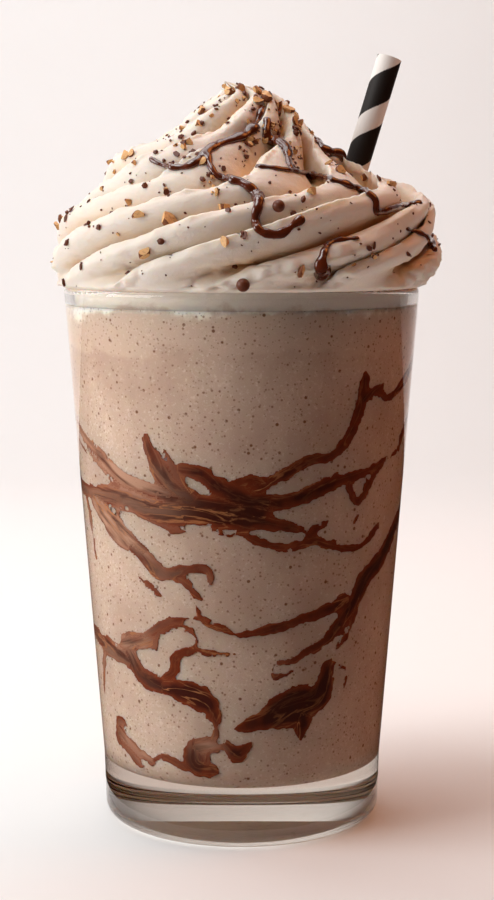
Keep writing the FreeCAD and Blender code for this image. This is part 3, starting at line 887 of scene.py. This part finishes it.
class MILKSHAKE_OT_drizzle_sauce(bpy.types.Operator):
    """Runs lines of thick sauce over the cream"""
    bl_idname = "milkshake.drizzle_sauce"
    bl_label = "Drizzle sauce"

    def execute(self, context):
        tree = cream_tree()
        together = bmesh.new()
        for turn, stretch in TURNS:
            for number, (widths, places) in enumerate(DRIZZLE):
                if turn and number in FRONT_ONLY:
                    continue
                path = through([(h * stretch, z) for h, z in places], 24)
                landed = [land(tree, h, z, turn) for h, z in path]
                landed = [spot for spot in landed if spot]
                points = np.array([spot[0] for spot in landed])
                normals = np.array([spot[1] for spot in landed])
                for _ in range(2):
                    points[1:-1] = (points[:-2] + 2 * points[1:-1] + points[2:]) / 4
                    normals[1:-1] = (normals[:-2] + normals[1:-1] + normals[2:]) / 3
                lengths = np.concatenate([[0], np.cumsum(np.linalg.norm(np.diff(points, axis=0), axis=1))])
                count = int(lengths[-1] / BLOB_SPACING) + 2
                bm = bmesh.new()
                for far in np.linspace(0, lengths[-1], count):
                    middle = Vector([np.interp(far, lengths, points[:, k]) for k in range(3)])
                    normal = Vector([np.interp(far, lengths, normals[:, k]) for k in range(3)]).normalized()
                    width = np.interp(far / lengths[-1], (0, 0.5, 1), widths)
                    width *= 1.15 + 0.5 * noise.noise((far / 2.6, number * 5, turn))
                    place = (Matrix.Translation(middle + normal * width * 0.08)
                             @ normal.to_track_quat("Z", "Y").to_matrix().to_4x4()
                             @ Matrix.Diagonal((width / 2, width / 2, width * 0.34, 1)))
                    bmesh.ops.create_icosphere(bm, subdivisions=2, radius=1, matrix=place)
                line = bpy.data.meshes.new("line")
                bm.to_mesh(line)
                bm.free()
                together.from_mesh(line)
                bpy.data.meshes.remove(line)
        blobs = finish_piece(together, "drizzle_blobs", [])
        remesh = blobs.modifiers.new("Melt together", "REMESH")
        remesh.mode, remesh.voxel_size = "VOXEL", MELT_CELL
        melted = bpy.data.meshes.new_from_object(blobs.evaluated_get(context.evaluated_depsgraph_get()))
        bpy.data.objects.remove(blobs)
        bm = bmesh.new()
        bm.from_mesh(melted)
        bpy.data.meshes.remove(melted)
        bmesh.ops.scale(bm, vec=(1 / MM,) * 3, verts=bm.verts)
        for _ in range(3):
            bmesh.ops.smooth_vert(bm, verts=bm.verts, factor=0.5,
                                  use_axis_x=True, use_axis_y=True, use_axis_z=True)
        finish_piece(bm, "cream_drizzle", [glossy_sauce(context.scene.sauce)])
        return {"FINISHED"}


# ------------------------------------------------------------------ toppings

# The larger nut pieces that catch the eye on the front: heading, height and length.
LARGE_NUTS = ((-23, 146, 5.5), (-9, 149, 3.4), (-6, 141, 3.2), (19, 152, 3.0), (15, 135, 2.8), (51, 157, 3.2),
              (63, 156, 3.2), (-35, 147, 2.8), (-30, 139, 3.2), (0, 177, 3.4), (30, 176, 3.6), (50, 175, 3.8),
              (62, 173, 3.6), (80, 172, 3.4), (-55, 176, 3.0), (-70, 172, 3.2), (20, 174, 3.0),
              (-78, 161, 3.0), (70, 154, 3.0))
# Round chocolate drops: heading, height and width.
DROPS = ((7, 149, 2.8), (-1, 132, 3.0))
# Widths of the chocolate crumbs.
CRUMBS = (0.4, 0.5, 0.6, 0.8, 1.1, 1.8)
# The steepest place that still holds a bit, as the upward part of the surface's direction.
STEEPEST = -0.35


def chopped(subdivisions, cuts, rng, skinned=False):
    """A bit of food one unit wide, with that many flat cut faces. Its outside keeps the skin's material."""
    bm = bmesh.new()
    bmesh.ops.create_icosphere(bm, subdivisions=subdivisions, radius=0.5)
    for face in bm.faces:
        face.material_index = 1 if skinned else 0
    for _ in range(cuts):
        away = Vector([rng.gauss(0, 1) for _ in range(3)]).normalized()
        cut = bmesh.ops.bisect_plane(bm, geom=bm.verts[:] + bm.edges[:] + bm.faces[:],
                                     plane_co=away * rng.uniform(0.12, 0.36), plane_no=away, clear_outer=True)
        rim = [e for e in cut["geom_cut"] if isinstance(e, bmesh.types.BMEdge)]
        for face in bmesh.ops.holes_fill(bm, edges=rim)["faces"]:
            face.material_index = 0
    bmesh.ops.triangulate(bm, faces=[f for f in bm.faces if len(f.verts) > 4])
    bmesh.ops.recalc_face_normals(bm, faces=bm.faces)
    mesh = bpy.data.meshes.new("bit")
    bm.to_mesh(mesh)
    bm.free()
    return mesh


def strew(bm, bits, middle, normal, size, rng, flat=1.0):
    """Sets one of the bits on the surface, turned and stretched at random, and sunk in a little."""
    start = len(bm.verts)
    bm.from_mesh(rng.choice(bits))
    bm.verts.ensure_lookup_table()
    stretch = Matrix.Diagonal((size * rng.uniform(0.85, 1.3), size * rng.uniform(0.6, 0.95),
                               size * flat * rng.uniform(0.6, 0.9), 1))
    spin = Matrix.Rotation(rng.uniform(0, math.tau), 4, "Z")
    tip = Matrix.Rotation(rng.uniform(-0.6, 0.6), 4, "X")
    upright = normal.to_track_quat("Z", "Y").to_matrix().to_4x4()
    place = Matrix.Translation(middle + normal * size * 0.16) @ upright @ spin @ tip @ stretch
    bmesh.ops.transform(bm, matrix=place, verts=bm.verts[start:])


def falling(rng, tree, count, high_share):
    """Random places on the cream, as points and directions. Half fall by the last one, and of the others
    high_share fall near the top."""
    spots = []
    turn, height = 0, 160
    while len(spots) < count:
        if rng.random() < 0.5:
            turn, height = turn + rng.gauss(0, 5), min(height + rng.gauss(0, 1.8), 178)
        else:
            turn = rng.uniform(-180, 180)
            height = rng.uniform(158, 178) if rng.random() < high_share else rng.uniform(RIM + 3, 165)
        spot = land(tree, rng.uniform(-3, 3), height, turn)
        if spot and spot[1].z > STEEPEST:
            spots.append(spot)
    return spots


def roasted_nut(topping):
    """Chopped roasted nut: matt and pale gold where cut, with darker toasted flecks."""
    material, tree, output = new_material("roasted_nut")
    place = add_node(tree, "TexCoord").outputs["Object"]
    # Toasted flecks 0.8 mm across.
    flecks = add_node(tree, "TexNoise", {"Vector": place, "Scale": 1000 / 0.8, "Detail": 3, "Roughness": 0.6})
    toasted = add_node(tree, "MapRange", {
        "Value": flecks.outputs[0], "From Min": 0.5, "From Max": 0.75, "To Max": 0.6})
    colour = add_node(tree, "Mix", {
        0: toasted.outputs[0], 6: rgba(topping.nut_flesh), 7: rgba(topping.nut_skin)}, data_type="RGBA")
    bump = add_node(tree, "Bump", {"Height": flecks.outputs[0], "Distance": 0.0002, "Strength": 0.5})
    surface = add_node(tree, "BsdfPrincipled", {
        "Base Color": colour.outputs[2], "Roughness": 0.55, "IOR": 1.47, "Normal": bump.outputs[0],
        "Subsurface Weight": 0.2, "Subsurface Scale": 0.001, "Subsurface Radius": (1.0, 0.6, 0.35)})
    tree.links.new(surface.outputs[0], output.inputs["Surface"])
    return material


def nut_skin(topping):
    """The papery brown skin of a roasted nut: dull and finely wrinkled."""
    material, tree, output = new_material("roasted_nut_skin")
    place = add_node(tree, "TexCoord").outputs["Object"]
    # Wrinkles 0.5 mm apart.
    wrinkles = add_node(tree, "TexNoise", {"Vector": place, "Scale": 1000 / 0.5, "Detail": 3})
    bump = add_node(tree, "Bump", {"Height": wrinkles.outputs[0], "Distance": 0.0002, "Strength": 0.6})
    surface = add_node(tree, "BsdfPrincipled", {
        "Base Color": rgba(topping.nut_skin), "Roughness": 0.6, "IOR": 1.45, "Normal": bump.outputs[0]})
    tree.links.new(surface.outputs[0], output.inputs["Surface"])
    return material


def grated_chocolate(topping):
    """Grated milk chocolate: matt brown broken faces with a faint waxy sheen."""
    material, tree, output = new_material("grated_chocolate")
    place = add_node(tree, "TexCoord").outputs["Object"]
    # Broken grain 0.4 mm across.
    grain = add_node(tree, "TexNoise", {"Vector": place, "Scale": 1000 / 0.4, "Detail": 2})
    lighter = add_node(tree, "MapRange", {
        "Value": grain.outputs[0], "From Min": 0.5, "From Max": 0.8, "To Max": 0.5})
    colour = add_node(tree, "Mix", {
        0: lighter.outputs[0], 6: rgba(topping.chocolate), 7: rgba(topping.nut_skin)}, data_type="RGBA")
    surface = add_node(tree, "BsdfPrincipled", {
        "Base Color": colour.outputs[2], "Roughness": 0.45, "IOR": 1.45})
    tree.links.new(surface.outputs[0], output.inputs["Surface"])
    return material


class MILKSHAKE_OT_scatter_nuts(bpy.types.Operator):
    """Scatters chopped nuts on the cream, thickest at the peak"""
    bl_idname = "milkshake.scatter_nuts"
    bl_label = "Scatter nuts"

    def execute(self, context):
        topping = context.scene.topping
        rng = random.Random(topping.seed)
        tree = cream_tree()
        bits = [chopped(2, cuts, rng, skinned=True) for cuts in (4, 5, 6, 7, 5, 6)]
        bm = bmesh.new()
        for heading, height, size in LARGE_NUTS:
            middle, normal = land(tree, heading, height)
            strew(bm, bits, middle, normal, size, rng)
        for middle, normal in falling(rng, tree, topping.nuts, 0.6):
            strew(bm, bits, middle, normal, rng.uniform(1.0, 2.4), rng)
        finish_piece(bm, "chopped_nuts", [roasted_nut(topping), nut_skin(topping)], smooth=False)
        return {"FINISHED"}


class MILKSHAKE_OT_scatter_chocolate(bpy.types.Operator):
    """Scatters grated chocolate and a few round drops on the cream"""
    bl_idname = "milkshake.scatter_chocolate"
    bl_label = "Scatter chocolate"

    def execute(self, context):
        topping = context.scene.topping
        rng = random.Random(topping.seed + 1)
        tree = cream_tree()
        bits = [chopped(1, cuts, rng) for cuts in (1, 2, 2, 3, 3)]
        bm = bmesh.new()
        for middle, normal in falling(rng, tree, topping.crumbs, 0.35):
            strew(bm, bits, middle, normal, rng.choice(CRUMBS), rng, flat=0.7)
        for heading, height, size in DROPS:
            middle, normal = land(tree, heading, height)
            bmesh.ops.create_icosphere(bm, subdivisions=3, radius=size / 2,
                                       matrix=Matrix.Translation(middle + normal * size * 0.2))
        finish_piece(bm, "grated_chocolate", [grated_chocolate(topping)], smooth=False)
        return {"FINISHED"}


# --------------------------------------------------------------------- straw

# Where in each turn the stripe starts and ends, and how softly its edges fade, as shares of the turn.
STRIPE_END = 0.62
STRIPE_FADE = 0.015
STRIPE_START = 0.005


def striped_paper(straw):
    """Wound and printed paper: matt, with a fine fibre grain and a slightly soft edge to the stripe."""
    material, tree, output = new_material("wound_striped_paper")
    foot, top = straw_ends()
    turned = (top - foot).to_track_quat("Z", "Y").to_euler()
    place = add_node(tree, "TexCoord").outputs["Object"]
    along = add_node(tree, "Mapping", {
        "Vector": place, "Location": foot * MM, "Rotation": turned}, vector_type="TEXTURE")
    parts = add_node(tree, "SeparateXYZ", {0: along.outputs[0]})
    round_it = add_node(tree, "Math", {0: parts.outputs["Y"], 1: parts.outputs["X"]}, operation="ARCTAN2")
    share = add_node(tree, "Math", {
        0: round_it.outputs[0], 1: 1 / math.tau, 2: straw.start}, operation="MULTIPLY_ADD")
    climb = add_node(tree, "Math", {
        0: parts.outputs["Z"], 1: -1 / straw.lead, 2: share.outputs[0]}, operation="MULTIPLY_ADD")
    turn = add_node(tree, "Math", {0: climb.outputs[0], 1: 1.0, 2: 0.0}, operation="WRAP")
    # Fibres 0.15 mm wide.
    fibre = add_node(tree, "TexNoise", {"Vector": place, "Scale": 1000 / 0.3, "Detail": 3})
    loose = add_node(tree, "MapRange", {"Value": fibre.outputs[0], "To Min": -0.012, "To Max": 0.012})
    edge = add_node(tree, "Math", {0: turn.outputs[0], 1: loose.outputs[0]}, operation="ADD")
    rising = add_node(tree, "MapRange", {
        "Value": edge.outputs[0], "From Min": STRIPE_START, "From Max": STRIPE_START + STRIPE_FADE})
    falling_edge = add_node(tree, "MapRange", {
        "Value": edge.outputs[0], "From Min": STRIPE_END, "From Max": STRIPE_END - STRIPE_FADE})
    stripe = add_node(tree, "Math", {0: rising.outputs[0], 1: falling_edge.outputs[0]}, operation="MULTIPLY")
    colour = add_node(tree, "Mix", {
        0: stripe.outputs[0], 6: rgba(straw.paper), 7: rgba(straw.ink)}, data_type="RGBA")
    bump = add_node(tree, "Bump", {"Height": fibre.outputs[0], "Distance": 0.0001, "Strength": 0.4})
    surface = add_node(tree, "BsdfPrincipled", {
        "Base Color": colour.outputs[2], "Roughness": 0.6, "IOR": 1.5, "Specular IOR Level": 0.35,
        "Normal": bump.outputs[0]})
    tree.links.new(surface.outputs[0], output.inputs["Surface"])
    return material


def straw_ends():
    """The middles of the straw's two ends, from its own vertices."""
    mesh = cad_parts["straw"].data
    places = np.empty(len(mesh.vertices) * 3)
    mesh.vertices.foreach_get("co", places)
    places = places.reshape(-1, 3) / MM
    middle = places.mean(0)
    axis = np.linalg.svd(places - middle, full_matrices=False)[2][0]
    axis = axis if axis[2] > 0 else -axis
    reach = (places - middle) @ axis
    low, high = places[reach < reach.min() + 2], places[reach > reach.max() - 0.5]
    return Vector(low.mean(0)), Vector(high.mean(0))


class MILKSHAKE_OT_stripe_straw(bpy.types.Operator):
    """Prints the winding stripe on the paper straw"""
    bl_idname = "milkshake.stripe_straw"
    bl_label = "Stripe straw"

    def execute(self, context):
        cover("straw", striped_paper(context.scene.straw))
        return {"FINISHED"}


# --------------------------------------------------------------------- stage

# The floor in millimetres: how far it is below the part, its front edge, half its width, its length to the
# bend, the bend's radius and steps, and the backdrop's height over the bend.
FLOOR_DROP = 0.2
FLOOR_FRONT = -900
FLOOR_HALF_WIDTH = 1600
FLOOR_LENGTH = 1500
BEND_RADIUS = 300
BEND_STEPS = 12
BACKDROP_HEIGHT = 1200
# The flag in millimetres: how high it lies, and the radius of the hole that the tumbler stands in.
FLAG_HEIGHT = 0.5
FLAG_HOLE = 45


def painted_board(stage):
    """Matt painted board: even and pale, with the faintest roller grain."""
    material, tree, output = new_material("painted_board")
    place = add_node(tree, "TexCoord").outputs["Object"]
    # Roller grain 2 mm across.
    grain = add_node(tree, "TexNoise", {"Vector": place, "Scale": 1000 / 2, "Detail": 2})
    bump = add_node(tree, "Bump", {"Height": grain.outputs[0], "Distance": 0.0001, "Strength": 0.1})
    surface = add_node(tree, "BsdfPrincipled", {
        "Base Color": rgba(stage.floor), "Roughness": 0.9, "Specular IOR Level": 0.0,
        "Normal": bump.outputs[0]})
    tree.links.new(surface.outputs[0], output.inputs["Surface"])
    return material


def black_felt(stage):
    """Black felt: takes in nearly all the light that falls on it."""
    material, tree, output = new_material("black_felt")
    surface = add_node(tree, "BsdfPrincipled", {
        "Base Color": rgba(stage.felt), "Roughness": 1.0, "Specular IOR Level": 0.0})
    tree.links.new(surface.outputs[0], output.inputs["Surface"])
    return material


def add_lamp(name, power, size, place, aim, colour=(1, 1, 1)):
    """A square soft lamp that points at a place."""
    lamp = bpy.data.lights.new(name, "AREA")
    lamp.energy, lamp.size, lamp.color = power, size, colour
    holder = bpy.data.objects.new(name, lamp)
    holder.location = place
    holder.rotation_euler = (Vector(aim) - Vector(place)).to_track_quat("-Z", "Y").to_euler()
    bpy.context.scene.collection.objects.link(holder)
    return holder


class MILKSHAKE_OT_set_stage(bpy.types.Operator):
    """Sets the floor, the lamps and the camera"""
    bl_idname = "milkshake.set_stage"
    bl_label = "Set stage"

    def execute(self, context):
        stage = context.scene.stage_set
        bm = bmesh.new()
        front = [bm.verts.new((x, FLOOR_FRONT, -FLOOR_DROP)) for x in (-FLOOR_HALF_WIDTH, FLOOR_HALF_WIDTH)]
        run = bm.edges.new(front)
        # The floor, the bend and the backdrop.
        turns = np.linspace(0, math.pi / 2, BEND_STEPS + 1)
        steps = [(0, FLOOR_LENGTH, 0)]
        steps += [(0, BEND_RADIUS * (math.sin(b) - math.sin(a)), BEND_RADIUS * (math.cos(a) - math.cos(b)))
                  for a, b in zip(turns, turns[1:])]
        steps += [(0, 0, BACKDROP_HEIGHT)]
        for step in steps:
            made = bmesh.ops.extrude_edge_only(bm, edges=[run])["geom"]
            bmesh.ops.translate(bm, vec=step, verts=[v for v in made if isinstance(v, bmesh.types.BMVert)])
            run = next(e for e in made if isinstance(e, bmesh.types.BMEdge))
        bmesh.ops.recalc_face_normals(bm, faces=bm.faces)
        floor = new_object(bm, "floor", [painted_board(stage)])

        # A black flag lies round the tumbler. It is seen only in reflections, so the glass and the sauce stay
        # deep in colour instead of mirroring the pale floor.
        bm = bmesh.new()
        ends = [bm.verts.new((r, 0, FLAG_HEIGHT)) for r in (FLAG_HOLE, stage.flag_radius / MM)]
        edge = bm.edges.new(ends)
        bmesh.ops.spin(bm, geom=[edge, *ends], axis=(0, 0, 1), cent=(0, 0, 0), angle=math.tau, steps=48,
                       use_merge=True)
        flag = new_object(bm, "flag", [black_felt(stage)], smooth=False)
        flag.visible_camera = flag.visible_diffuse = flag.visible_transmission = flag.visible_shadow = False

        middle = (0, 0, 0.09)
        add_lamp("key", stage.key, 0.42, (-0.55, -0.15, 0.29), middle)
        add_lamp("top", stage.top, 0.3, (-0.2, -0.14, 0.8), middle)
        add_lamp("warm", stage.warm, 0.4, (0.42, 0.05, 0.72), middle, stage.warm_colour)
        add_lamp("backdrop", stage.backdrop, 0.8, (-0.2, 0.35, 0.75), (0, 0.9, 0.15))

        # The room is dim and warm, but looks as pale as the floor where the camera sees past it.
        world = bpy.data.worlds.new("studio")
        world.use_nodes = True
        tree = world.node_tree
        tree.nodes.clear()
        room = add_node(tree, "Background", {"Color": rgba(stage.warm_colour), "Strength": 0.05})
        wall = add_node(tree, "Background", {"Color": rgba(stage.floor), "Strength": 0.9})
        path = add_node(tree, "LightPath")
        seen = add_node(tree, "MixShader", {
            0: path.outputs["Is Camera Ray"], 1: room.outputs[0], 2: wall.outputs[0]})
        add_node(tree, "OutputWorld", {"Surface": seen.outputs[0]})
        context.scene.world = world

        camera = bpy.data.cameras.new("camera")
        camera.lens, camera.sensor_width, camera.clip_start = stage.lens, 36, 0.01
        holder = bpy.data.objects.new("camera", camera)
        holder.location = stage.eye
        holder.rotation_euler = (math.pi / 2 - stage.dip, 0, 0)
        context.scene.collection.objects.link(holder)
        context.scene.camera = holder
        context.scene.view_settings.view_transform = "Standard"
        return {"FINISHED"}


# --------------------------------------------------------------------- panel

STEPS = (MILKSHAKE_OT_polish_tumbler, MILKSHAKE_OT_pour_drink, MILKSHAKE_OT_streak_wall,
    MILKSHAKE_OT_pipe_cream,
         MILKSHAKE_OT_drizzle_sauce, MILKSHAKE_OT_scatter_nuts, MILKSHAKE_OT_scatter_chocolate,
         MILKSHAKE_OT_stripe_straw, MILKSHAKE_OT_set_stage)
SETTINGS = {"tumbler": TumblerSettings, "shake": MilkshakeSettings, "sauce": SauceSettings,
    "cream": CreamSettings,
            "topping": ToppingSettings, "straw": StrawSettings, "stage_set": StageSettings}


class MILKSHAKE_PT_sidebar(bpy.types.Panel):
    """The steps that build the milkshake, in order, over their settings"""
    bl_idname = "MILKSHAKE_PT_sidebar"
    bl_label = "Milkshake"
    bl_space_type = "VIEW_3D"
    bl_region_type = "UI"
    bl_category = "Milkshake"

    def draw(self, context):
        for step in STEPS:
            self.layout.operator(step.bl_idname)
        for name in SETTINGS:
            group = getattr(context.scene, name)
            part = self.layout.box()
            for field in type(group).__annotations__:
                part.prop(group, field)


def register():
    """Adds the settings, the operators and the panel."""
    for settings in SETTINGS.values():
        bpy.utils.register_class(settings)
    for name, settings in SETTINGS.items():
        setattr(bpy.types.Scene, name, bpy.props.PointerProperty(type=settings))
    for step in STEPS:
        bpy.utils.register_class(step)
    bpy.utils.register_class(MILKSHAKE_PT_sidebar)


def unregister():
    """Takes away the panel, the operators and the settings."""
    bpy.utils.unregister_class(MILKSHAKE_PT_sidebar)
    for step in reversed(STEPS):
        bpy.utils.unregister_class(step)
    for name, settings in reversed(SETTINGS.items()):
        delattr(bpy.types.Scene, name)
        bpy.utils.unregister_class(settings)


def main():
    """Builds everything in order."""
    register()
    bpy.ops.milkshake.polish_tumbler()
    bpy.ops.milkshake.pour_drink()
    bpy.ops.milkshake.streak_wall()
    bpy.ops.milkshake.pipe_cream()
    bpy.ops.milkshake.drizzle_sauce()
    bpy.ops.milkshake.scatter_nuts()
    bpy.ops.milkshake.scatter_chocolate()
    bpy.ops.milkshake.stripe_straw()
    bpy.ops.milkshake.set_stage()


if __name__ == "__main__":
    main()
